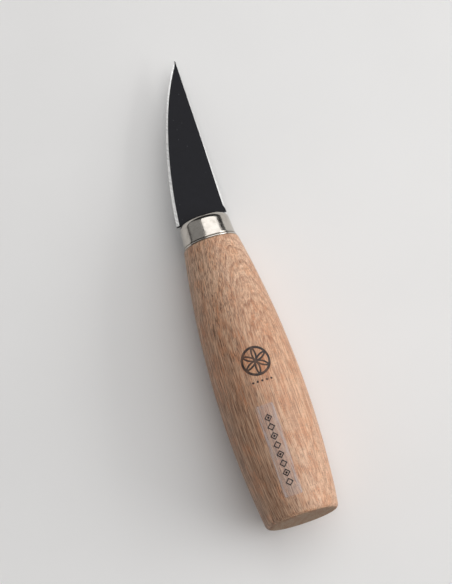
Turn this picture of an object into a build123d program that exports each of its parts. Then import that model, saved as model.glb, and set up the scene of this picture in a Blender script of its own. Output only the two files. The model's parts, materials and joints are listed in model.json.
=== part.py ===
from build123d import *
import os
from math import atan, cos, degrees, radians, sin, sqrt

os.makedirs("parts", exist_ok=True)

# A whittling knife, in millimetres. The pieces are made in the knife's own axes: x runs forward from
# the butt to the point, y from the cutting edge to the back of the blade, and z stands off the blade's
# side. At the end the whole knife is laid down on z = 0, as it rests on a bench.

# Driving dimensions: handle
wood_length = 104.5
belly_from_butt = 41.0
belly_radius = 15.95
rear_swell_radius = 310.0
front_swell_radius = 352.0
butt_rounding = 2.0
shoulder_rounding = 0.6
bore_radius = 4.0
bore_depth = 66.0

# Ferrule: a drawn cup with a rounded front and a beaded rear rim
ferrule_length = 9.7
ferrule_rear_radius = 9.75
ferrule_front_radius = 8.95
ferrule_rounding = 2.5
ferrule_wall = 0.9
bead_radius = 0.4
tenon_play = 0.05

# Blade: straight edge, curved back, flat ground from the back to a narrow edge bevel
blade_length = 60.0
back_from_axis = 9.75
edge_from_axis = -9.05
point_from_axis = -8.54
point_rounding_length = 1.0
nose_length = 16.0
nose_start_from_axis = -0.5
back_middle_from_axis = 5.88
back_middle_at = 23.0
back_half_thickness = 1.25
bevel_half_thickness = 0.15
bevel_width = 0.5
back_flat_half_thickness = 1.04
back_chamfer_angle = 78.0

# Tang: a stick tang in one piece with the blade
tang_width = 6.6
tang_end_width = 4.6
tang_thickness = 2.2
tang_length = 62.0
slot_play = 0.1

# Label: a strip of clear film on the handle's upper side
film_length = 33.4
film_width = 6.8
film_thickness = 0.1
film_from_butt = 6.9
film_centre_y = 1.05

# Densities in kg per cubic metre, for the balance of the knife at rest
density = {"blade": 7850, "ferrule": 7850, "handle": 600, "tang_adhesive": 1100, "label_film": 1100}

ferrule_rear = wood_length
ferrule_front = wood_length + ferrule_length


def handle_radius(x):
    """Radius of the turned barrel at x: two arcs that meet level at the belly."""
    swell = rear_swell_radius if x < belly_from_butt else front_swell_radius
    return belly_radius - swell + sqrt(swell**2 - (x - belly_from_butt) ** 2)


def arc_along_handle(start, end, proud=0.0):
    """One arc of the barrel's profile from start to end, standing proud of it by a constant height."""
    stations = (start, (start + end) / 2, end)
    return ThreePointArc(*[(x, handle_radius(x) + proud) for x in stations])


def turned(*edges):
    """Solid turned about the knife's axis from a profile of edges, closed down to the axis."""
    profile = Curve() + list(edges)
    start, end = edges[0] @ 0, edges[-1] @ 1
    closing = Polyline(start, (start.X, 0), (end.X, 0), end)
    return revolve(make_face(profile + closing), Axis.X)


def barrel(proud=0.0):
    """The handle's outside, without the tenon."""
    return turned(arc_along_handle(0, belly_from_butt, proud), arc_along_handle(belly_from_butt, wood_length, proud))


def cylinder_between(start, end, radius):
    return Pos((start + end) / 2, 0, 0) * Rot(0, 90, 0) * Cylinder(radius, end - start)


def circle_at(solid, x):
    """The solid's outermost circular edge at x."""
    rims = [e for e in solid.edges() if e.geom_type == GeomType.CIRCLE and abs(e.center().X - x) < 0.01]
    return max(rims, key=lambda e: e.radius)


def cup_profile(inset):
    """The ferrule's outer shape, or with an inset the shape of its hollow."""
    rear = (ferrule_rear, ferrule_rear_radius - inset)
    front = (ferrule_front - inset, ferrule_front_radius - inset)
    cone = turned(Line(rear, front))
    return fillet(circle_at(cone, ferrule_front - inset), ferrule_rounding - inset)


def make_tang(play=0.0):
    """The tang, or with play the hole that clears it; it tapers in width towards its end."""
    half_front, half_end = tang_width / 2 + play, tang_end_width / 2 + play
    end = ferrule_front - tang_length - play
    outline = Polyline(
        (ferrule_front, half_front), (end, half_end), (end, -half_end), (ferrule_front, -half_front), close=True
    )
    return extrude(make_face(outline), tang_thickness / 2 + play, both=True)


def make_handle():
    wood = fillet(circle_at(barrel(), 0), butt_rounding)
    wood = fillet(circle_at(wood, wood_length), shoulder_rounding)
    tenon = cup_profile(ferrule_wall + tenon_play)
    bore = cylinder_between(ferrule_front - bore_depth, ferrule_front, bore_radius)
    return wood + tenon - bore


def make_ferrule():
    bead_at = ferrule_rear + bead_radius
    bead = Pos(bead_at, 0, 0) * Rot(0, 90, 0) * Torus(ferrule_rear_radius - bead_radius / 2, bead_radius)
    return cup_profile(0) + bead - cup_profile(ferrule_wall) - make_tang(slot_play)


def back_curve():
    """The curved back: a long arc from the heel and a tighter one that falls to the point."""
    heel = (ferrule_front, back_from_axis)
    middle = (ferrule_front + back_middle_at, back_middle_from_axis)
    nose = (ferrule_front + blade_length - nose_length, nose_start_from_axis)
    point = (ferrule_front + blade_length, point_from_axis)
    long_arc = ThreePointArc(heel, middle, nose)
    return long_arc, TangentArc(nose, point, tangent=long_arc % 1)


def make_blade():
    long_arc, nose_arc = back_curve()
    point = nose_arc @ 1
    edge_end = (point.X - point_rounding_length, edge_from_axis)
    heel = (ferrule_front, edge_from_axis)
    outline = Curve() + [long_arc, nose_arc, Line(point, edge_end), Line(edge_end, heel), Line(heel, long_arc @ 0)]
    plan = extrude(make_face(outline), back_half_thickness, both=True)

    bevel_top = edge_from_axis + bevel_width
    section = Polyline(
        (edge_from_axis, 0),
        (bevel_top, bevel_half_thickness),
        (back_from_axis, back_half_thickness),
        (back_from_axis, -back_half_thickness),
        (bevel_top, -bevel_half_thickness),
        close=True,
    )
    wedge = extrude(make_face(Plane.YZ * section), blade_length, both=True)
    ground = plan & (Pos(ferrule_front, 0, 0) * wedge)

    # The back is chamfered on both sides by a body whose walls lean in above a narrow flat
    beyond = nose_arc % 1 * blade_length / 4
    low = (point.X + beyond.X, point.Y + beyond.Y)
    behind = ferrule_front - blade_length / 4
    cover = Curve() + [
        long_arc,
        nose_arc,
        Polyline(point, low, (behind, low[1]), (behind, back_from_axis), long_arc @ 0),
    ]
    chamfer_height = back_half_thickness - back_flat_half_thickness
    leaning = extrude(make_face(cover), chamfer_height, taper=back_chamfer_angle)
    lower = Pos(0, 0, -back_flat_half_thickness - leaning.bounding_box().max.Z) * leaning
    flat = extrude(make_face(cover), back_flat_half_thickness, both=True)
    crown = flat + lower + mirror(lower, Plane.XY)
    return (ground & crown) + make_tang()


def make_adhesive():
    front = ferrule_front - ferrule_wall
    return cylinder_between(ferrule_front - bore_depth, front, bore_radius) - make_tang()


def make_film():
    window = Pos(film_from_butt + film_length / 2, film_centre_y, belly_radius)
    strip = window * Box(film_length, film_width, belly_radius)
    return (barrel(film_thickness) - barrel()) & strip


pieces = {
    "blade": make_blade(),
    "ferrule": make_ferrule(),
    "handle": make_handle(),
    "tang_adhesive": make_adhesive(),
    "label_film": make_film(),
}

# At rest the round handle rocks on its front arc until the centre of mass is over the point of contact
mass = {name: density[name] * piece.volume for name, piece in pieces.items()}
balance = sum(mass[name] * piece.center(CenterOf.MASS).X for name, piece in pieces.items()) / sum(mass.values())
arc_centre_offset = front_swell_radius - belly_radius
rest_pitch = degrees(atan((balance - belly_from_butt) / arc_centre_offset))

# The contact is straight under the centre of that arc, which is above the belly
tilt = radians(rest_pitch)
lift = front_swell_radius - arc_centre_offset * cos(tilt) + belly_from_butt * sin(tilt)
laid = {name: Rot(0, rest_pitch, 0) * piece for name, piece in pieces.items()}
boxes = [piece.bounding_box() for piece in laid.values()]
middle_x = (min(box.min.X for box in boxes) + max(box.max.X for box in boxes)) / 2
on_bench = Pos(-middle_x, 0, lift)

for name, piece in laid.items():
    export_step(on_bench * piece, f"parts/{name}.step")

print(f"balance {balance:.2f} mm from the butt, pitch {rest_pitch:.3f} degrees")
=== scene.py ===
import json
import math

import bmesh
import bpy
import numpy as np
from mathutils import Matrix, Vector, noise


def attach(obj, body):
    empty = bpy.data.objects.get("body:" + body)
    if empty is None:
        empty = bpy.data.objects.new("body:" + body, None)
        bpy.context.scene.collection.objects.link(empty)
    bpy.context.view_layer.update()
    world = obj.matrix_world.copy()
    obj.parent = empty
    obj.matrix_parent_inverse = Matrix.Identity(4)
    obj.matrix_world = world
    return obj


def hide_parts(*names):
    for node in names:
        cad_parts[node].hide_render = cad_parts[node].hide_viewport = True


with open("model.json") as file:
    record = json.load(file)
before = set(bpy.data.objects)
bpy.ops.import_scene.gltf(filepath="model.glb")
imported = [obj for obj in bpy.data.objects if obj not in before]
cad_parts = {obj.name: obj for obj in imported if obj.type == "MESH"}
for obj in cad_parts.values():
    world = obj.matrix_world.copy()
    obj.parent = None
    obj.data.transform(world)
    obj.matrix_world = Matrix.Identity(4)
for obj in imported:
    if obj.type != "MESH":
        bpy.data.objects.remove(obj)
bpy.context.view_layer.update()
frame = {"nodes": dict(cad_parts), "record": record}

# A whittling knife: black blade, nickel-plated ferrule, turned beech handle, strip of clear film.
# Shapes are made in the knife's own axes in millimetres, x from the butt to the point, y from the
# cutting edge to the back of the blade, z off the blade's upper side, and then placed in the frame.
# The turn steps, BEAD_FROM and SHARP_DEGREES are in degrees, and MARK_ANGLE is in radians.

MM = 0.001
butt_face = next(mount for mount in frame["record"]["mounts"] if mount["name"] == "butt_face")
forward = -Vector(butt_face["axis"]).normalized()
to_back = Vector((0, 0, 1)).cross(forward).normalized()
off_side = forward.cross(to_back)
knife_axes = Matrix((forward, to_back, off_side)).transposed().to_4x4()
TO_FRAME = Matrix.Translation(butt_face["pos_m"]) @ knife_axes @ Matrix.Scale(MM, 4)
TO_KNIFE = TO_FRAME.inverted()


def moved(points, matrix):
    m = np.array(matrix)
    return points @ m[:3, :3].T + m[:3, 3]


def mesh_points(mesh):
    flat = np.empty(len(mesh.vertices) * 3)
    mesh.vertices.foreach_get("co", flat)
    return flat.reshape(-1, 3)


def extent(node):
    """Lowest and highest corner of a CAD node in the knife's axes."""
    points = moved(mesh_points(frame["nodes"][node].data), TO_KNIFE)
    return points.min(0), points.max(0)


handle_high = extent("handle")[1]
ferrule_low, ferrule_high = extent("ferrule")
blade_low, blade_high = extent("blade")
film_low, film_high = extent("label_film")
bore_low, bore_high = extent("tang_adhesive")

# Handle
BELLY_X = 41.0
BELLY_RADIUS = handle_high[1]
REAR_SWELL = 310.0
FRONT_SWELL = 352.0
WOOD_FRONT = ferrule_low[0]
BUTT_ROUNDING = 2.0
SHOULDER_ROUNDING = 0.6
BORE_END = bore_low[0]
BORE_RADIUS = bore_high[1]
TENON_FRONT = handle_high[0]
TENON_CLEARANCE = 1.0
HANDLE_STEP = 0.8
HANDLE_TURN_STEP = 1.8
CLEAR_OF_BUTT = 0.7
CLEAR_OF_SHOULDER = 0.5
WAVE_LENGTH = 9.0
WAVE_HEIGHT = 0.05
WAVE_SINK = 0.03

# Ferrule
SHOULDER = ferrule_high[0]
BEAD_RADIUS = 0.4
BEAD_X = WOOD_FRONT + BEAD_RADIUS
BEAD_CENTRE = ferrule_high[1] - BEAD_RADIUS
BEAD_FROM = 8
CONE_REAR = ferrule_high[1] - BEAD_RADIUS / 2
CONE_FRONT = 8.95
FERRULE_ROUNDING = 2.5
FERRULE_WALL = 0.9
GROOVE_GAP = 0.04
GROOVE_DEPTH = 0.17
GROOVE_WIDTH = 0.16
GROOVE_LIP = 0.12
GROOVE_EASING = 0.02
RIM_CHAMFER = 0.1
FERRULE_STEP = 0.35
FERRULE_FLAT_STEP = 0.8
FERRULE_TURN_STEP = 1.5
DENT_SIZE = 4.0
DENT_DEPTH = 0.05
RIPPLE_SIZE = 1.6
RIPPLE_DEPTH = 0.008
RIPPLE_SHIFT = 50
TRUE_FLAT_RADIUS = 5
SLOT_PLAY = 0.1

# Blade, measured from the shoulder where it leaves the ferrule
BLADE_LENGTH = blade_high[0] - SHOULDER
BACK_Y = blade_high[1]
EDGE_Y = blade_low[1]
POINT_Y = -8.54
BACK_MIDDLE = (23.0, 5.88)
NOSE_START = (44.0, -0.5)
POINT_ROUNDING = 1.0
HALF_THICKNESS = blade_high[2]
LEAST_WIDTH = 0.02
BEVEL_HALF = 0.15
BEVEL_WIDTH = 0.5
BEVEL_WIDTH_NOSE = 0.26
BEVEL_NARROWS = (4.0, 30.0)
HONING_STARTS = (0.6, 3.4)
HONING_LEAST = 0.12
UNHONED_HEEL = 0.9
BACK_STRIP_HEEL = 1.1
BACK_STRIP_NOSE = 0.75
BACK_STRIP_DROP = 0.17
BACK_STRIP_HOLLOW = 0.04
BACK_ROUNDING = 0.12
BEVEL_SHARE = 0.35
BEVEL_HALF_SHARE = 0.3
BACK_STRIP_SHARE = 0.4
BACK_ROUNDING_SHARES = (0.3, 0.2)
BACK_ROUNDING_EASING = 0.2
FACE_STEPS = 12
HEEL_ZONE = 4
HEEL_STATIONS = 17
SIDE_STATIONS = 90
POINT_ZONE = 2
POINT_STATIONS = 25
POINT_CROWDING = 1.6
TANG_END = blade_low[0]
TANG_WIDTHS = (6.6, 4.6)
TANG_THICKNESS = 2.2
BLACK, GROUND, HONED = 0, 1, 2

# Burned mark: a plain compass rosette in a ring, with a row of dots behind it
MARK_X = 55.9
MARK_ANGLE = -0.071
MARK_RADIUS = 5.0
MARK_RING_WIDTH = 0.85
MARK_PETAL_WIDTH = 0.6
MARK_ARCS = 6
MARK_DEPTH = 0.12
MARK_STEP = 0.17
MARK_EVEN = 0.7
MARK_RAGGED = 0.6
MARK_RAGGED_SIZE = 1.3
DOTS_BEHIND = 7.4
DOT_COUNT = 5
DOT_SPACING = 1.7
DOT_RADIUS = 0.38

# Film: printed with a column of plain diamonds
FILM_RISE = 0.075
FILM_CORNER = 0.9
FILM_STEP = 0.13
FILM_SUNK = 0.08
WRINKLE_SIZE = 1.1
WRINKLE_HEIGHT = 0.03
WRINKLE_DIP = 0.02
WRINKLE_STRETCH = 3
WRINKLES_FULL = 0.6
INK_COUNT = 8
INK_SPAN = 0.8
INK_SIZE = 1.2
INK_LINE = 0.55
INK_FEATHER = 0.12


def smooth(value, low, high):
    """0 below low, 1 above high, and eased between them."""
    t = np.clip((value - low) / (high - low), 0, 1)
    return t * t * (3 - 2 * t)


def eased(x, span, at_start, at_end):
    """A width or share that goes smoothly from one value to another over a span of x."""
    return at_start + (at_end - at_start) * float(smooth(x, *span))


def soft_inside(outside, feather):
    """1 inside a shape, 0 outside it and feathered at its outline, from the distance outside it."""
    return np.clip(0.5 - outside / feather, 0, 1)


def uneven(points, size, height):
    """Smooth random heights for points, like the slight unevenness of handwork."""
    return np.array([noise.noise(Vector(p) / size) for p in points]) * height


def off_axis(points):
    """Each point's distance from the knife's axis, and its direction away from it."""
    radius = np.hypot(points[:, 1], points[:, 2])
    outward = points * (0, 1, 1) / np.maximum(radius, 1e-6)[:, None]
    return radius, outward


# ---------------------------------------------------------------- meshes


SHARP_DEGREES = {"handle": 40, "ferrule": 50, "blade": 11, "label_film": 50}


def add_piece(name, node, points, faces, materials, material_of=None, fields=None):
    """A piece in place of a CAD node, from points in the knife's axes in millimetres."""
    mesh = bpy.data.meshes.new(name)
    mesh.from_pydata(moved(np.asarray(points, float), TO_FRAME).tolist(), [], faces)
    for material in materials:
        mesh.materials.append(material)
    if material_of is not None:
        mesh.polygons.foreach_set("material_index", material_of)
    for field, values in (fields or {}).items():
        mesh.attributes.new(field, "FLOAT", "POINT").data.foreach_set("value", values)
    work = bmesh.new()
    work.from_mesh(mesh)
    bmesh.ops.recalc_face_normals(work, faces=work.faces)
    work.to_mesh(mesh)
    work.free()
    mesh.shade_smooth()
    mesh.set_sharp_from_angle(angle=math.radians(SHARP_DEGREES[node]))
    piece = bpy.data.objects.new(name, mesh)
    bpy.context.scene.collection.objects.link(piece)
    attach(piece, "root")
    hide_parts(node)
    return piece


def keep_knife_axes(piece):
    """Stores each point's place in the knife's axes, for the materials."""
    places = moved(mesh_points(piece.data), TO_KNIFE)
    field = piece.data.attributes.new("knife", "FLOAT_VECTOR", "POINT")
    field.data.foreach_set("vector", places.ravel())


def turned(profile, angles):
    """Points and faces of a solid turned round the knife's axis, from a profile of (x, radius) that
    starts and ends on the axis. Angles run from the upper side towards the back of the blade."""
    rings = np.asarray(profile[1:-1])
    count = len(angles)
    x = np.repeat(rings[:, 0], count)
    radius = np.repeat(rings[:, 1], count)
    turn = np.tile(angles, len(rings))
    around = np.column_stack([x, radius * np.sin(turn), radius * np.cos(turn)])
    points = np.vstack([[profile[0][0], 0, 0], around, [profile[-1][0], 0, 0]])
    last = len(points) - 1
    faces = []
    for k in range(count):
        following = (k + 1) % count
        faces.append((0, 1 + k, 1 + following))
        faces.append((last, last - count + following, last - count + k))
        for ring in range(len(rings) - 1):
            near, far = 1 + ring * count, 1 + (ring + 1) * count
            faces.append((near + k, far + k, far + following, near + following))
    return points, faces


def corner(centre, radius, start, end, steps):
    """Profile points on an arc; the angles are in degrees from the +x direction."""
    turns = np.radians(np.linspace(start, end, steps + 1))
    return [(centre[0] + radius * math.cos(t), centre[1] + radius * math.sin(t)) for t in turns]


def straight(start, end, spacing):
    """Profile points from start to end, both left out."""
    steps = max(1, round(math.dist(start, end) / spacing))
    shares = [k / steps for k in range(1, steps)]
    return [(start[0] + s * (end[0] - start[0]), start[1] + s * (end[1] - start[1])) for s in shares]


# ---------------------------------------------------------------- handle


def barrel_radius(x, proud=0.0):
    """Radius of the turned handle at x: two arcs that meet level at the belly."""
    swell = np.where(x < BELLY_X, REAR_SWELL, FRONT_SWELL)
    return BELLY_RADIUS - swell + np.sqrt((swell + proud) ** 2 - (x - BELLY_X) ** 2)


def mark_strength(along, across):
    """How strongly the mark is burned, from 0 to 1, at distances from its centre in millimetres."""
    out = np.hypot(along, across)
    burned = soft_inside(np.abs(out - MARK_RADIUS) - MARK_RING_WIDTH / 2, MARK_STEP)
    for k in range(MARK_ARCS):
        turn = k * 2 * math.pi / MARK_ARCS
        centre_along, centre_across = MARK_RADIUS * math.cos(turn), MARK_RADIUS * math.sin(turn)
        off_arc = np.abs(np.hypot(along - centre_along, across - centre_across) - MARK_RADIUS)
        petal = soft_inside(off_arc - MARK_PETAL_WIDTH / 2, MARK_STEP)
        burned = np.maximum(burned, petal * (out < MARK_RADIUS))
    for k in range(DOT_COUNT):
        dot_across = (k - (DOT_COUNT - 1) / 2) * DOT_SPACING
        off_dot = np.hypot(along + DOTS_BEHIND, across - dot_across)
        burned = np.maximum(burned, soft_inside(off_dot - DOT_RADIUS, MARK_STEP))
    return burned


def handle_profile():
    """From the butt's centre over the outside to the tenon, and back down the bore to its end."""
    butt_centre = (BUTT_ROUNDING, float(barrel_radius(BUTT_ROUNDING, -BUTT_ROUNDING)))
    butt_lean = math.degrees(math.atan((BELLY_X - BUTT_ROUNDING) / (REAR_SWELL - BUTT_ROUNDING)))
    shoulder_x = WOOD_FRONT - SHOULDER_ROUNDING
    shoulder_centre = (shoulder_x, float(barrel_radius(shoulder_x, -SHOULDER_ROUNDING)))
    shoulder_lean = math.degrees(math.atan((shoulder_x - BELLY_X) / (FRONT_SWELL - SHOULDER_ROUNDING)))
    butt_corner = corner(butt_centre, BUTT_ROUNDING, 180, 90 + butt_lean, steps=10)
    shoulder_corner = corner(shoulder_centre, SHOULDER_ROUNDING, 90 - shoulder_lean, 0, steps=6)

    # Stations along the side, close together under the mark
    start, end = butt_corner[-1][0] + CLEAR_OF_BUTT, shoulder_corner[0][0] - CLEAR_OF_SHOULDER
    mark_start = MARK_X - DOTS_BEHIND - 2 * DOT_RADIUS
    mark_end = MARK_X + MARK_RADIUS + MARK_RING_WIDTH
    coarse = np.arange(start, end, HANDLE_STEP)
    coarse = coarse[(coarse < mark_start) | (coarse > mark_end)]
    fine = np.arange(mark_start, mark_end, MARK_STEP)
    side = [(x, float(barrel_radius(x))) for x in np.sort(np.concatenate([coarse, fine]))]

    end_rings = 8
    end_face = [(0.0, butt_corner[0][1] * k / end_rings) for k in range(end_rings)]
    tenon_rear = (WOOD_FRONT, CONE_REAR - FERRULE_WALL)
    tenon_front = (TENON_FRONT, CONE_FRONT - FERRULE_WALL - TENON_CLEARANCE)
    tenon = [tenon_rear, tenon_front, (TENON_FRONT, BORE_RADIUS)]
    bore = [(BORE_END, BORE_RADIUS), (BORE_END, 0.0)]
    return end_face + butt_corner + side + shoulder_corner + tenon + bore


def make_handle(material):
    reach = (MARK_RADIUS + MARK_RING_WIDTH) / BELLY_RADIUS
    coarse = np.arange(-math.pi, math.pi, math.radians(HANDLE_TURN_STEP))
    coarse = coarse[np.abs(coarse - MARK_ANGLE) > reach]
    fine = np.arange(MARK_ANGLE - reach, MARK_ANGLE + reach, MARK_STEP / BELLY_RADIUS)
    points, faces = turned(handle_profile(), np.sort(np.concatenate([coarse, fine])))

    # The outside is slightly uneven and carries the mark; the tenon and the bore stay true
    radius, outward = off_axis(points)
    outside = (radius > BORE_RADIUS + 0.5) & (points[:, 0] < WOOD_FRONT - 0.01)
    turn = np.arctan2(points[:, 1], points[:, 2])
    across = (turn - MARK_ANGLE) * BELLY_RADIUS
    burned = mark_strength(points[:, 0] - MARK_X, across) * outside
    ragged = MARK_EVEN + uneven(points, MARK_RAGGED_SIZE, MARK_RAGGED)
    waves = uneven(points, WAVE_LENGTH, WAVE_HEIGHT) - WAVE_SINK
    height = np.where(outside, waves - MARK_DEPTH * burned * ragged, 0)
    points = points + outward * height[:, None]
    fields = {"burn": burned}
    piece = add_piece("handle_beech", "handle", points, faces, [material], fields=fields)
    keep_knife_axes(piece)


# ---------------------------------------------------------------- ferrule


def ferrule_profile():
    """From the front's centre over the outside to the bead, and back up the inside to its centre."""
    slope = (CONE_REAR - CONE_FRONT) / (SHOULDER - WOOD_FRONT)
    lean = math.atan(slope)

    def cone(x, inset=0.0):
        return CONE_REAR - slope * (x - WOOD_FRONT) - inset

    def nose(front, inset):
        rounding = FERRULE_ROUNDING - inset
        centre = (front - rounding, cone(front - rounding, inset) - rounding / math.cos(lean))
        return corner(centre, rounding, 0, 90 - math.degrees(lean), steps=14)

    outer_nose = nose(SHOULDER, 0.0)
    inner_front = SHOULDER - FERRULE_WALL
    inner_nose = nose(inner_front, FERRULE_WALL)
    groove_rear = (BEAD_X + BEAD_RADIUS + GROOVE_GAP, cone(BEAD_X) - GROOVE_DEPTH)
    groove_front = (groove_rear[0] + GROOVE_WIDTH, groove_rear[1] + GROOVE_EASING)
    cone_start_x = groove_front[0] + GROOVE_LIP
    cone_start = (cone_start_x, cone(cone_start_x) - GROOVE_EASING)
    bead = corner((BEAD_X, BEAD_CENTRE), BEAD_RADIUS, BEAD_FROM, 180, steps=12)
    rim_radius = cone(WOOD_FRONT, FERRULE_WALL)
    rim = [(WOOD_FRONT, rim_radius + RIM_CHAMFER), (WOOD_FRONT + RIM_CHAMFER, rim_radius)]
    return (
        [(SHOULDER, 0.0)]
        + straight((SHOULDER, 0.0), outer_nose[0], FERRULE_FLAT_STEP)
        + outer_nose
        + straight(outer_nose[-1], cone_start, FERRULE_STEP)
        + [cone_start, groove_front, groove_rear]
        + bead
        + rim
        + inner_nose[::-1]
        + straight(inner_nose[0], (inner_front, 0.0), FERRULE_FLAT_STEP)
        + [(inner_front, 0.0)]
    )


def cut_slot(piece):
    """Cuts the tang's slot through the ferrule's front."""
    half_width, half_thickness = TANG_WIDTHS[0] / 2 + SLOT_PLAY, TANG_THICKNESS / 2 + SLOT_PLAY
    ends_x = (SHOULDER - 3 * FERRULE_WALL, SHOULDER + FERRULE_WALL)
    ends_y, ends_z = (-half_width, half_width), (-half_thickness, half_thickness)
    corners = [(x, y, z) for x in ends_x for y in ends_y for z in ends_z]
    sides = [(0, 1, 3, 2), (4, 6, 7, 5), (0, 4, 5, 1), (2, 3, 7, 6), (0, 2, 6, 4), (1, 5, 7, 3)]
    cutter_mesh = bpy.data.meshes.new("slot_cutter")
    cutter_mesh.from_pydata(moved(np.array(corners), TO_FRAME).tolist(), [], sides)
    cutter = bpy.data.objects.new("slot_cutter", cutter_mesh)
    bpy.context.scene.collection.objects.link(cutter)
    cut = piece.modifiers.new("slot", "BOOLEAN")
    cut.object = cutter
    cut.operation = "DIFFERENCE"
    cut.solver = "EXACT"
    graph = bpy.context.evaluated_depsgraph_get()
    cut_mesh = bpy.data.meshes.new_from_object(piece.evaluated_get(graph))
    piece.modifiers.clear()
    piece.data = cut_mesh
    bpy.data.objects.remove(cutter)


def make_ferrule(material):
    angles = np.arange(-math.pi, math.pi, math.radians(FERRULE_TURN_STEP))
    points, faces = turned(ferrule_profile(), angles)
    radius, outward = off_axis(points)
    dents = uneven(points, DENT_SIZE, DENT_DEPTH)
    ripples = uneven(points + RIPPLE_SHIFT, RIPPLE_SIZE, RIPPLE_DEPTH)
    dented = (points[:, 0] > BEAD_X + BEAD_RADIUS) & (radius > TRUE_FLAT_RADIUS)
    points = points + outward * ((dents + ripples) * dented)[:, None]
    piece = add_piece("ferrule_cup", "ferrule", points, faces, [material])
    cut_slot(piece)
    keep_knife_axes(piece)


# ---------------------------------------------------------------- blade


def circle_through(a, b, c):
    """Centre and radius of the circle through three points."""
    rows = np.array([[2 * (b[0] - a[0]), 2 * (b[1] - a[1])], [2 * (c[0] - a[0]), 2 * (c[1] - a[1])]])
    squares = [p[0] ** 2 + p[1] ** 2 for p in (a, b, c)]
    centre = np.linalg.solve(rows, [squares[1] - squares[0], squares[2] - squares[0]])
    return centre, math.dist(centre, a)


def back_outline(x):
    """The curved back's y at a distance x from the shoulder: a long arc, then a tighter tangent one."""
    centre, radius = circle_through((0.0, BACK_Y), BACK_MIDDLE, NOSE_START)
    nose, point = np.array(NOSE_START), np.array((BLADE_LENGTH, POINT_Y))
    inward = (centre - nose) / radius
    chord = point - nose
    nose_radius = (chord @ chord) / (2 * (inward @ chord))
    nose_centre = nose + inward * nose_radius
    long_arc = centre[1] + np.sqrt(np.maximum(radius**2 - (x - centre[0]) ** 2, 0))
    nose_arc = nose_centre[1] + np.sqrt(np.maximum(nose_radius**2 - (x - nose_centre[0]) ** 2, 0))
    return np.where(x < NOSE_START[0], long_arc, nose_arc)


def edge_outline(x):
    """The cutting edge's y: straight, and turned up a little at the very point."""
    rise = np.clip((x - BLADE_LENGTH + POINT_ROUNDING) / POINT_ROUNDING, 0, 1)
    return EDGE_Y + (POINT_Y - EDGE_Y) * rise**2


def blade_section(x):
    """Upper half of the blade's section at x: (y, z) points from the edge to the back, and the finish
    of each step between them. Towards the point, every width shrinks with the blade's own."""
    edge, back = float(edge_outline(x)), float(back_outline(x))
    width = max(back - edge, LEAST_WIDTH)
    bevel = eased(x, BEVEL_NARROWS, BEVEL_WIDTH, BEVEL_WIDTH_NOSE) * eased(x, HONING_STARTS, HONING_LEAST, 1)
    bevel = min(bevel, BEVEL_SHARE * width)
    bevel_height = min(BEVEL_HALF, BEVEL_HALF_SHARE * width)
    face_start = edge + bevel
    slope = (HALF_THICKNESS - BEVEL_HALF) / (BACK_Y - EDGE_Y - BEVEL_WIDTH)

    def face_height(y):
        return bevel_height + slope * max(y - face_start, 0)

    strip = eased(x, (0, NOSE_START[0]), BACK_STRIP_HEEL, BACK_STRIP_NOSE)
    strip = min(strip, BACK_STRIP_SHARE * width)
    strip_start = back - strip
    strip_height = face_height(strip_start)
    drop = BACK_STRIP_DROP * strip_height
    height_share, strip_share = BACK_ROUNDING_SHARES
    rounding = min(BACK_ROUNDING, height_share * (strip_height - drop), strip_share * strip)
    flat, fall = strip - rounding, drop - BACK_ROUNDING_EASING * rounding

    bevel_steps = [(edge + bevel * s, bevel_height * s) for s in (0, 0.5, 1)]
    face_places = np.linspace(face_start, strip_start, FACE_STEPS + 1)[1:].tolist()
    face_steps = [(y, face_height(y)) for y in face_places]
    strip_steps = [
        (strip_start + flat * s, strip_height - fall * s - BACK_STRIP_HOLLOW * drop * s * (1 - s))
        for s in (0.33, 0.66, 1)
    ]
    top_y, top_z = strip_steps[-1]
    quarter = np.radians(np.linspace(0, 90, 7)[1:])
    round_steps = [(top_y + rounding * math.sin(t), top_z - rounding * (1 - math.cos(t))) for t in quarter]
    bevel_finish = BLACK if x < UNHONED_HEEL else HONED
    finishes = [bevel_finish] * 2 + [BLACK] * FACE_STEPS + [GROUND] * len(strip_steps + round_steps)
    return bevel_steps + face_steps + strip_steps + round_steps, finishes


def make_blade(black, ground, honed):
    near_heel = np.linspace(0, HEEL_ZONE, HEEL_STATIONS)
    along = np.linspace(HEEL_ZONE, BLADE_LENGTH - POINT_ZONE, SIDE_STATIONS)[1:]
    from_point = 1 - np.linspace(0, 1, POINT_STATIONS)[1:]
    near_point = BLADE_LENGTH - POINT_ZONE * from_point**POINT_CROWDING
    points, rows, finishes_at = [], [], []
    for x in np.concatenate([near_heel, along, near_point]):
        upper, finishes = blade_section(float(x))
        loop = upper + [(y, -z) for y, z in upper[::-1] if z > 0]
        rows.append(range(len(points), len(points) + len(loop)))
        points += [(SHOULDER + x, y, z) for y, z in loop]
        finishes_at.append(finishes + [GROUND] + finishes[::-1])
    faces, material_of = [], []
    for row, following, finishes in zip(rows, rows[1:], finishes_at):
        for k in range(len(row)):
            after = (k + 1) % len(row)
            faces.append((row[k], following[k], following[after], row[after]))
            material_of.append(finishes[k])
    for row in (rows[0], rows[-1]):
        faces.append(tuple(row))
        material_of.append(BLACK)

    # The stick tang behind the heel, hidden in the ferrule and the handle
    first = len(points)
    thick = TANG_THICKNESS / 2
    for x, width in ((SHOULDER, TANG_WIDTHS[0]), (TANG_END, TANG_WIDTHS[1])):
        half = width / 2
        points += [(x, -half, -thick), (x, half, -thick), (x, half, thick), (x, -half, thick)]
    faces += [tuple(first + k for k in side) for side in ((0, 1, 2, 3), (4, 7, 6, 5))]
    faces += [(first + k, first + (k + 1) % 4, first + 4 + (k + 1) % 4, first + 4 + k) for k in range(4)]
    material_of += [BLACK] * 6
    materials = [black, ground, honed]
    piece = add_piece("blade_steel", "blade", points, faces, materials, material_of)
    keep_knife_axes(piece)


# ---------------------------------------------------------------- label film


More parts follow.
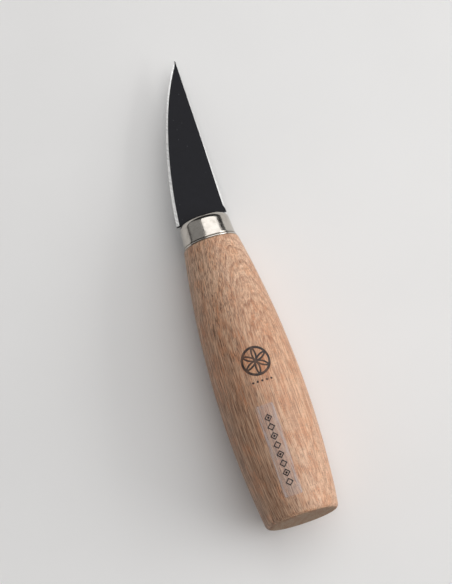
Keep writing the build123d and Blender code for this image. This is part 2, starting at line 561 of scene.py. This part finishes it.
def ink_strength(along, across, length):
    """Where the film is printed: a column of small open diamonds, every other one with a dot."""
    printed = np.zeros_like(along)
    pitch = length * INK_SPAN / INK_COUNT
    for k in range(INK_COUNT):
        offset = (k - (INK_COUNT - 1) / 2) * pitch
        reach = np.abs(along - offset) + np.abs(across)
        outline = soft_inside(np.abs(reach - INK_SIZE) - INK_LINE / 2, INK_FEATHER)
        dot = soft_inside(reach - INK_LINE, INK_FEATHER) * (k % 2)
        printed = np.maximum(printed, np.maximum(outline, dot))
    return printed


def make_film(material):
    """A thin sheet bent round the handle, with rounded corners and low wrinkles."""
    length, width = (film_high - film_low)[:2]
    centre_x, centre_y = (film_high + film_low)[:2] / 2
    columns = np.linspace(-length / 2, length / 2, round(length / FILM_STEP))
    shares = np.linspace(-1, 1, round(width / FILM_STEP))
    inset = np.clip(FILM_CORNER - (length / 2 - np.abs(columns)), 0, FILM_CORNER)
    half_widths = width / 2 - (FILM_CORNER - np.sqrt(np.maximum(FILM_CORNER**2 - inset**2, 0)))
    along = np.repeat(columns, len(shares))
    across = np.outer(half_widths, shares).ravel()
    from_side = np.repeat(half_widths, len(shares)) - np.abs(across)
    from_edge = np.minimum(length / 2 - np.abs(along), from_side)

    x, y = centre_x + along, centre_y + across
    wrinkle_places = np.column_stack([x / WRINKLE_STRETCH, y, np.zeros(len(x))])
    wrinkles = uneven(wrinkle_places, WRINKLE_SIZE, WRINKLE_HEIGHT)
    wrinkles = np.clip(wrinkles, -WRINKLE_DIP, WRINKLE_HEIGHT) * smooth(from_edge, 0, WRINKLES_FULL)
    top = barrel_radius(x) + FILM_RISE + wrinkles
    bottom = barrel_radius(x) - FILM_SUNK
    points = np.vstack([np.column_stack([x, y, np.sqrt(radius**2 - y**2)]) for radius in (top, bottom)])

    rows, in_row = len(columns), len(shares)
    layer = rows * in_row
    faces = []
    for i in range(rows - 1):
        for j in range(in_row - 1):
            a = i * in_row + j
            b = a + in_row
            faces.append((a, b, b + 1, a + 1))
            faces.append((layer + a, layer + a + 1, layer + b + 1, layer + b))
    border = [i * in_row for i in range(rows)]
    border += [(rows - 1) * in_row + j for j in range(1, in_row)]
    border += [i * in_row + in_row - 1 for i in range(rows - 2, -1, -1)]
    border += list(range(in_row - 2, 0, -1))
    for a, b in zip(border, border[1:] + border[:1]):
        faces.append((a, b, layer + b, layer + a))

    fields = {"ink": ink_strength(along, across, length), "from_edge": from_edge, "from_side": from_side}
    fields = {name: np.tile(values, 2) for name, values in fields.items()}
    piece = add_piece("label_strip", "label_film", points, faces, [material], fields=fields)
    keep_knife_axes(piece)


# ---------------------------------------------------------------- materials


class Recipe:
    """A material under construction. Its methods add shader nodes, take numbers or the outputs of
    other nodes, and give back an output. Colours are red, green and blue."""

    def __init__(self, name, **shader_values):
        self.material = bpy.data.materials.new(name)
        self.material.use_nodes = True
        self.tree = self.material.node_tree
        self.tree.nodes.clear()
        values = {key.replace("_", " "): value for key, value in shader_values.items()}
        self.shader = self.add("BsdfPrincipled", values)
        self.add("OutputMaterial", {"Surface": self.shader.outputs[0]})

    def add(self, kind, values=None, **settings):
        made = self.tree.nodes.new("ShaderNode" + kind)
        for name, value in settings.items():
            setattr(made, name, value)
        for socket, value in (values or {}).items():
            if isinstance(value, bpy.types.NodeSocket):
                self.tree.links.new(value, made.inputs[socket])
            else:
                made.inputs[socket].default_value = value
        return made

    def finish(self, **outputs):
        for key, output in outputs.items():
            self.tree.links.new(output, self.shader.inputs[key.replace("_", " ")])
        return self.material

    def field(self, name):
        return self.add("Attribute", attribute_name=name).outputs["Fac"]

    def knife(self):
        """The point's place in the knife's axes, in millimetres."""
        return self.add("Attribute", attribute_name="knife").outputs["Vector"]

    def place(self, scale=(1, 1, 1), rotation=(0, 0, 0)):
        """The place in the knife's axes, turned and then stretched for a pattern."""
        facing = self.add("Mapping", {"Vector": self.knife(), "Rotation": rotation}).outputs[0]
        return self.add("Mapping", {"Vector": facing, "Scale": scale}).outputs[0]

    def parts(self, vector):
        return self.add("SeparateXYZ", {0: vector}).outputs

    def speckle(self, vector, scale=1.0, detail=2.0, roughness=0.5, distortion=0.0):
        values = {"Vector": vector, "Scale": scale, "Detail": detail, "Roughness": roughness}
        return self.add("TexNoise", {**values, "Distortion": distortion}).outputs["Fac"]

    def math(self, operation, first, second=0.0):
        return self.add("Math", {0: first, 1: second}, operation=operation).outputs[0]

    def plus(self, first, second):
        return self.math("ADD", first, second)

    def minus(self, first, second):
        return self.math("SUBTRACT", first, second)

    def times(self, first, second):
        return self.math("MULTIPLY", first, second)

    def between(self, value, low, high, to_low=0.0, to_high=1.0):
        """Smoothly maps value from low..high to to_low..to_high."""
        values = {"Value": value, "From Min": low, "From Max": high, "To Min": to_low, "To Max": to_high}
        return self.add("MapRange", values, interpolation_type="SMOOTHSTEP").outputs[0]

    def mix(self, share, first, second, blend_type="MIX"):
        values = {0: share}
        for socket, colour in ((6, first), (7, second)):
            values[socket] = colour if isinstance(colour, bpy.types.NodeSocket) else (*colour, 1)
        return self.add("Mix", values, data_type="RGBA", blend_type=blend_type).outputs[2]

    def cells(self, vector, scale=1.0):
        """Scattered cells: the distance from each one's centre, and a random number for each one."""
        outputs = self.add("TexVoronoi", {"Vector": vector, "Scale": scale}).outputs
        chance = self.add("SeparateColor", {0: outputs["Color"]}).outputs[0]
        return outputs["Distance"], chance

    def bump(self, height, strength, depth):
        values = {"Height": height, "Strength": strength, "Distance": depth * MM}
        return self.add("Bump", values).outputs[0]


PALE_WOOD = (0.78, 0.52, 0.365)
TAN_WOOD = (0.69, 0.425, 0.28)
PAINTED_SHADE_WOOD = (0.42, 0.255, 0.165)
# painted shade: the wood tone for the shaded side towards the blade's back
FIBRE_WOOD = (0.88, 0.62, 0.43)
ORANGE = (0.64, 0.305, 0.16)
RING_BROWN = (0.31, 0.13, 0.07)
BROWN = (0.27, 0.145, 0.088)
UMBER = (0.13, 0.066, 0.042)
WARM_TINT = (0.88, 0.75, 0.66)
# End grain tones, darkened partly by painted shade
END_PALE = (0.41, 0.28, 0.18)
END_TAN = (0.37, 0.215, 0.125)
END_PORE = (0.20, 0.12, 0.075)
END_RING = (0.15, 0.09, 0.055)
HEATED_TINT = (0.95, 0.78, 0.62)
SCORCH = (0.105, 0.045, 0.024)
CHAR = (0.012, 0.010, 0.010)

GRAIN_TURN = (0.0, math.radians(1.5), math.radians(-3.0))
SWEEP_FROM = 20.0
SWEEP = 0.00107
PITH_Y = -40.0
PITH_Z = 52.0
RINGS_PER_MM = 0.75
RING_WANDER = 3.2
FINE_RINGS = 2.6


def beech():
    """Pinkish tan beech: growth rings, dark streaks, dashes and veins along the grain, fine pores and
    spindle-shaped rays, painted shade on the side towards the blade's back, with end grain at the butt and
    the burned mark."""
    wood = Recipe("beech", Specular_IOR_Level=0.4)
    knife = wood.knife()
    x, y, z = wood.parts(knife)

    # The grain sweeps towards the cutting edge as it nears the ferrule
    ahead = wood.minus(x, SWEEP_FROM)
    swept = wood.times(wood.times(ahead, ahead), SWEEP)
    bent = wood.add("CombineXYZ", {"X": x, "Y": wood.plus(y, swept), "Z": z}).outputs[0]
    grain = wood.add("Mapping", {"Vector": bent, "Rotation": GRAIN_TURN}).outputs[0]

    def stretched(along, across, shift=0.0):
        values = {"Vector": grain, "Scale": (along, across, across), "Location": (shift, shift, shift)}
        return wood.add("Mapping", values).outputs[0]

    def grain_noise(along, across, shift, detail=2.0, roughness=0.5, distortion=0.0):
        return wood.speckle(stretched(along, across, shift), 1.0, detail, roughness, distortion)

    def spindles(along, across, shift, reach, share):
        """Short spindles along the grain, of which about this share show."""
        distance, chance = wood.cells(stretched(along, across, shift))
        inside = wood.between(distance, reach, reach * 0.45)
        return wood.times(inside, wood.between(chance, 1 - share, 1 - share * 0.6))

    # Growth rings about a pith above the handle on the cutting edge's side, clearest on that side
    grain_parts = wood.parts(grain)
    from_pith = {"Y": wood.minus(grain_parts["Y"], PITH_Y), "Z": wood.minus(grain_parts["Z"], PITH_Z)}
    off_pith = wood.add("CombineXYZ", from_pith).outputs[0]
    distance = wood.add("VectorMath", {0: off_pith}, operation="LENGTH").outputs["Value"]
    wander = grain_noise(0.022, 0.1, 0.0, detail=3.0)
    ring_place = wood.plus(wood.times(distance, RINGS_PER_MM), wood.times(wander, RING_WANDER))
    ring_share = wood.math("FRACT", ring_place)
    fine_share = wood.math("FRACT", wood.times(ring_place, FINE_RINGS))
    late_wood = wood.times(wood.between(ring_share, 0.5, 0.93), wood.between(ring_share, 1.0, 0.94))
    fine_lines = wood.times(wood.between(fine_share, 0.35, 0.8), wood.between(fine_share, 1.0, 0.85))
    rings = wood.plus(wood.times(late_wood, 0.75), wood.times(fine_lines, 0.35))
    ring_clarity = wood.times(wood.between(y, 4.0, -3.0, 0.12, 0.85), wood.between(x, 45.0, 85.0, 0.5, 1.0))

    # Patterns along the grain, and ripples across it
    broad = grain_noise(0.014, 0.17, 7.0, 3.0, 0.55)
    patches = grain_noise(0.16, 0.3, 29.0)
    streaks = grain_noise(0.09, 1.25, 3.0, 2.5, 0.6, 0.6)
    dashes = grain_noise(0.22, 2.7, 17.0, distortion=0.9)
    fibres = grain_noise(0.5, 6.0, 11.0, 3.0, 0.65)
    pale_fibres = grain_noise(0.1, 2.3, 53.0, 2.0, 0.6, 0.3)
    contours = grain_noise(0.026, 0.95, 41.0, distortion=0.2)
    ripples = grain_noise(2.6, 0.5, 23.0, 2.0, 0.6, 0.3)
    off_contour = wood.math("ABSOLUTE", wood.minus(contours, 0.5))
    pores = spindles(0.3, 2.6, 0.0, 0.36, 0.6)
    rays = spindles(0.42, 1.7, 5.0, 0.34, 0.55)

    # Where each tone shows. The side towards the blade's back gets painted shade, strongest towards the
    # butt, and is more streaked.
    toward_butt = wood.between(x, 98.0, 25.0, 0.0, 0.95)
    painted_shade_side = wood.times(wood.between(y, -6.0, 7.0), toward_butt)
    warmth = wood.times(wood.between(x, 92.0, 70.0), wood.between(x, 12.0, 45.0, 0.5, 1.0))
    streaked = wood.between(y, -6.0, 4.0, 0.12, 1.0)
    rippled = wood.between(y, 3.0, -7.0)
    colour = wood.mix(wood.between(broad, 0.3, 0.7), PALE_WOOD, TAN_WOOD)
    # Painted shade: the side towards the blade's back is mixed towards a darker wood tone, most towards the
    # butt.
    colour = wood.mix(painted_shade_side, colour, PAINTED_SHADE_WOOD)
    colour = wood.mix(wood.between(patches, 0.46, 0.62, 0.0, 0.7), colour, ORANGE)
    colour = wood.mix(warmth, colour, WARM_TINT, "MULTIPLY")
    layers = (
        (wood.times(rings, ring_clarity), RING_BROWN),
        (wood.times(wood.between(streaks, 0.5, 0.62, 0.0, 0.55), streaked), BROWN),
        (wood.times(wood.between(dashes, 0.53, 0.6, 0.0, 0.85), streaked), UMBER),
        (wood.between(off_contour, 0.036, 0.006, 0.0, 0.5), BROWN),
        (wood.times(pores, 0.8), UMBER),
        (wood.times(rays, 0.35), BROWN),
        (wood.times(wood.between(ripples, 0.5, 0.66, 0.0, 0.45), rippled), BROWN),
        (wood.between(fibres, 0.4, 0.64, 0.0, 0.45), BROWN),
        (wood.between(pale_fibres, 0.42, 0.66, 0.0, 0.4), FIBRE_WOOD),
    )
    for share, tone in layers:
        colour = wood.mix(share, colour, tone)

    # End grain at the butt is darker, partly its own colour and partly painted shade, with the rings cut
    # across
    end_share = wood.between(x, 0.5, 0.15)
    end_patches = wood.speckle(wood.place((0.2, 0.55, 0.12)))
    end_pores = wood.speckle(wood.place(), 3.6, 2.0, 0.6)
    end_tone_with_painted_shade = wood.mix(wood.between(end_patches, 0.42, 0.6), END_PALE, END_TAN)
    end_tone_with_painted_shade = wood.mix(wood.between(end_pores, 0.45, 0.65, 0.0, 0.6), end_tone_with_painted_shade, END_PORE)
    end_tone_with_painted_shade = wood.mix(wood.times(rings, 0.75), end_tone_with_painted_shade, END_RING)
    colour = wood.mix(end_share, colour, end_tone_with_painted_shade)

    # Charred mark with a scorched edge, on wood that the iron has warmed
    mark_centre = (MARK_X, BELLY_RADIUS * math.sin(MARK_ANGLE), BELLY_RADIUS)
    off_mark = wood.add("VectorMath", {0: knife, 1: mark_centre}, operation="DISTANCE").outputs["Value"]
    colour = wood.mix(wood.between(off_mark, 7.5, 3.5, 0.0, 0.6), colour, HEATED_TINT, "MULTIPLY")
    burn = wood.field("burn")
    patchy = wood.between(wood.speckle(wood.place(), 0.35, 3.0), 0.3, 0.62, 0.45, 0.97)
    colour = wood.mix(wood.between(burn, 0.0, 0.6, 0.0, 0.85), colour, SCORCH)
    colour = wood.mix(wood.times(wood.between(burn, 0.25, 0.95), patchy), colour, CHAR)

    gloss = wood.plus(wood.between(fibres, 0.25, 0.8, 0.42, 0.58), wood.times(end_share, 0.3))
    relief = wood.plus(wood.times(pores, -0.8), wood.times(fibres, 0.5))
    return wood.finish(Base_Color=colour, Roughness=gloss, Normal=wood.bump(relief, 0.5, 0.03))


def nickel():
    """Polished nickel plate, slightly warm, with fine turning lines, hairline scratches, dull spots and
    painted shade in the groove in front of the bead."""
    plate = Recipe("nickel", Metallic=1.0)
    lines = plate.speckle(plate.place((14.0, 0.5, 0.5)), 1.0, 3.0, 0.6)
    scratches = plate.speckle(plate.place((0.5, 7.0, 1.2), (0.4, 0.2, 0.5)), 1.0, 4.0, 0.7)
    cloud = plate.speckle(plate.place(), 0.28, 4.0, 0.6)
    groove_x = BEAD_X + BEAD_RADIUS + GROOVE_GAP + GROOVE_WIDTH / 2
    off_groove = plate.math("ABSOLUTE", plate.minus(plate.parts(plate.knife())["X"], groove_x))
    colour = plate.mix(plate.between(cloud, 0.35, 0.75), (0.58, 0.545, 0.50), (0.47, 0.435, 0.39))
    # Painted shade: the groove in front of the bead is coloured nearly black.
    colour = plate.mix(plate.between(off_groove, 0.3, 0.12, 0.0, 0.8), colour, (0.09, 0.07, 0.05))
    worn = plate.between(scratches, 0.55, 0.75, 0.0, 0.16)
    gloss = plate.plus(plate.between(cloud, 0.3, 0.8, 0.1, 0.22), worn)
    relief = plate.plus(lines, plate.times(scratches, 0.8))
    return plate.finish(Base_Color=colour, Roughness=gloss, Normal=plate.bump(relief, 0.22, 0.01))


def black_steel():
    """Blue-black satin coating with faint mottling and a few pale specks."""
    coat = Recipe("black_steel", Specular_IOR_Level=0.17)
    mottle = coat.speckle(coat.place(), 0.22, 5.0, 0.62)
    fine = coat.speckle(coat.place((1.0, 2.4, 2.4)), 3.2, 3.0, 0.6)
    distance, chance = coat.cells(coat.place(), 0.55)
    specks = coat.times(coat.between(distance, 0.1, 0.05, 0.0, 0.5), coat.between(chance, 0.72, 0.8))
    colour = coat.mix(coat.between(mottle, 0.3, 0.75), (0.006, 0.006, 0.009), (0.011, 0.011, 0.0145))
    colour = coat.mix(coat.between(fine, 0.5, 0.85, 0.0, 0.35), colour, (0.02, 0.02, 0.025))
    colour = coat.mix(specks, colour, (0.12, 0.12, 0.13))
    gloss = coat.between(mottle, 0.3, 0.8, 0.42, 0.56)
    return coat.finish(Base_Color=colour, Roughness=gloss, Normal=coat.bump(fine, 0.35, 0.012))


def bare_steel(name, angle, tone, spacing):
    """Bright ground steel with parallel grinding marks at an angle, in degrees, to the knife's length."""
    steel = Recipe(name, Metallic=1.0)
    marks = steel.speckle(steel.place((spacing, 0.35, 0.35), (0, 0, math.radians(angle))), 1.0, 3.0, 0.65)
    cloud = steel.speckle(steel.place(), 0.9, 3.0)
    dark = tuple(0.74 * channel for channel in tone)
    colour = steel.mix(steel.between(marks, 0.42, 0.66), tone, dark)
    gloss = steel.between(cloud, 0.3, 0.75, 0.3, 0.44)
    return steel.finish(Base_Color=colour, Roughness=gloss, Normal=steel.bump(marks, 0.28, 0.02))


def clear_film():
    """Thin clear film with milky streaks along its long sides and a dark printed ornament."""
    film = Recipe("clear_film")
    ink = film.field("ink")
    haze = film.speckle(film.place((0.12, 1.0, 1.0)), 1.4, 3.0, 0.6)
    near_side = film.between(film.field("from_side"), 1.6, 0.6)
    streaks = film.times(near_side, film.between(haze, 0.35, 0.65, 0.15, 1.0))
    milkiness = film.plus(film.times(streaks, 0.3), film.between(haze, 0.3, 0.7, 0.2, 0.32))
    milkiness = film.times(milkiness, film.between(film.field("from_edge"), 0.0, 0.35, 0.25, 1.0))
    return film.finish(
        Base_Color=film.mix(ink, (0.62, 0.53, 0.50), (0.01, 0.008, 0.01)),
        Specular_IOR_Level=film.minus(0.45, film.times(ink, 0.4)),
        Alpha=film.math("MAXIMUM", milkiness, film.times(ink, 0.95)),
        Roughness=film.between(haze, 0.3, 0.7, 0.28, 0.42),
    )


def epoxy():
    """Cured amber adhesive with a few cloudy streaks."""
    resin = Recipe("epoxy", Roughness=0.2)
    cloud = resin.speckle(resin.add("TexCoord").outputs["Object"], 0.5 / MM, 3.0)
    colour = resin.mix(resin.between(cloud, 0.3, 0.7), (0.6, 0.42, 0.2), (0.45, 0.28, 0.11))
    return resin.finish(Base_Color=colour)


def pale_floor():
    sweep = Recipe("pale_floor", Roughness=0.75)
    cloud = sweep.speckle(sweep.add("TexCoord").outputs["Object"], 9.0, 4.0)
    colour = sweep.mix(sweep.between(cloud, 0.3, 0.7), (0.82, 0.81, 0.80), (0.85, 0.84, 0.83))
    return sweep.finish(Base_Color=colour)


# ---------------------------------------------------------------- the knife

make_handle(beech())
make_ferrule(nickel())
make_blade(
    black_steel(),
    bare_steel("ground_back", 52, (0.88, 0.875, 0.86), 2.4),
    bare_steel("honed_edge", 80, (0.6, 0.6, 0.59), 5.0),
)
make_film(clear_film())
adhesive = frame["nodes"]["tang_adhesive"]
adhesive.data.materials.clear()
adhesive.data.materials.append(epoxy())

# ---------------------------------------------------------------- floor and camera

FLOOR_REACH = 3
CAMERA_TARGET = Vector((-0.0008, 0.0004, 0.015))
CAMERA_DISTANCE = 0.936
CAMERA_TURN = math.radians(-18.14)
CAMERA_TILT = math.radians(8.64)
CAMERA_LENS = 107.9
SENSOR_HEIGHT = 24.0

floor_mesh = bpy.data.meshes.new("floor")
floor_corners = [(FLOOR_REACH * x, FLOOR_REACH * y, 0) for x, y in ((-1, -1), (1, -1), (1, 1), (-1, 1))]
floor_mesh.from_pydata(floor_corners, [], [(0, 1, 2, 3)])
floor_mesh.materials.append(pale_floor())
floor = bpy.data.objects.new("floor", floor_mesh)
bpy.context.scene.collection.objects.link(floor)

level_up = Vector((math.cos(CAMERA_TURN), math.sin(CAMERA_TURN), 0))
straight_up = Vector((0, 0, 1))
camera_back = straight_up * math.cos(CAMERA_TILT) - level_up * math.sin(CAMERA_TILT)
camera_up = level_up * math.cos(CAMERA_TILT) + straight_up * math.sin(CAMERA_TILT)
camera_right = camera_up.cross(camera_back)
camera_data = bpy.data.cameras.new("camera")
camera_data.sensor_fit = "VERTICAL"
camera_data.sensor_height = SENSOR_HEIGHT
camera_data.lens = CAMERA_LENS
camera = bpy.data.objects.new("camera", camera_data)
camera_facing = Matrix((camera_right, camera_up, camera_back)).transposed().to_4x4()
camera.matrix_world = Matrix.Translation(CAMERA_TARGET + CAMERA_DISTANCE * camera_back) @ camera_facing
bpy.context.scene.collection.objects.link(camera)
bpy.context.scene.camera = camera

# ---------------------------------------------------------------- light

WORLD_COLOUR = (0.95, 0.97, 1.0, 1)
WORLD_STRENGTH = 0.04


def softbox(name, to_right, to_top, distance, size, brightness):
    """An area light over the knife, leaning by degrees towards the picture's right and top. Its
    brightness is the radiance of its face."""
    lean_right = camera_right * math.tan(math.radians(to_right))
    lean_top = level_up * math.tan(math.radians(to_top))
    toward_light = (straight_up + lean_right + lean_top).normalized()
    along_top = (level_up - toward_light * level_up.dot(toward_light)).normalized()
    along_right = along_top.cross(toward_light)
    data = bpy.data.lights.new(name, "AREA")
    data.shape = "RECTANGLE"
    data.size, data.size_y = size
    data.energy = brightness * math.pi * size[0] * size[1]
    light = bpy.data.objects.new(name, data)
    facing = Matrix((along_right, along_top, toward_light)).transposed().to_4x4()
    light.matrix_world = Matrix.Translation(toward_light * distance) @ facing
    bpy.context.scene.collection.objects.link(light)


softbox("key", to_right=23, to_top=14, distance=1.3, size=(2.1, 1.7), brightness=1.75)
softbox("side", to_right=66, to_top=5, distance=1.2, size=(0.5, 1.3), brightness=3.4)
softbox("left_card", to_right=-52, to_top=10, distance=1.3, size=(1.5, 1.4), brightness=0.3)

world = bpy.data.worlds.new("studio")
world.use_nodes = True
background = world.node_tree.nodes["Background"]
background.inputs["Color"].default_value = WORLD_COLOUR
background.inputs["Strength"].default_value = WORLD_STRENGTH
bpy.context.scene.world = world
bpy.context.scene.view_settings.view_transform = "Standard"
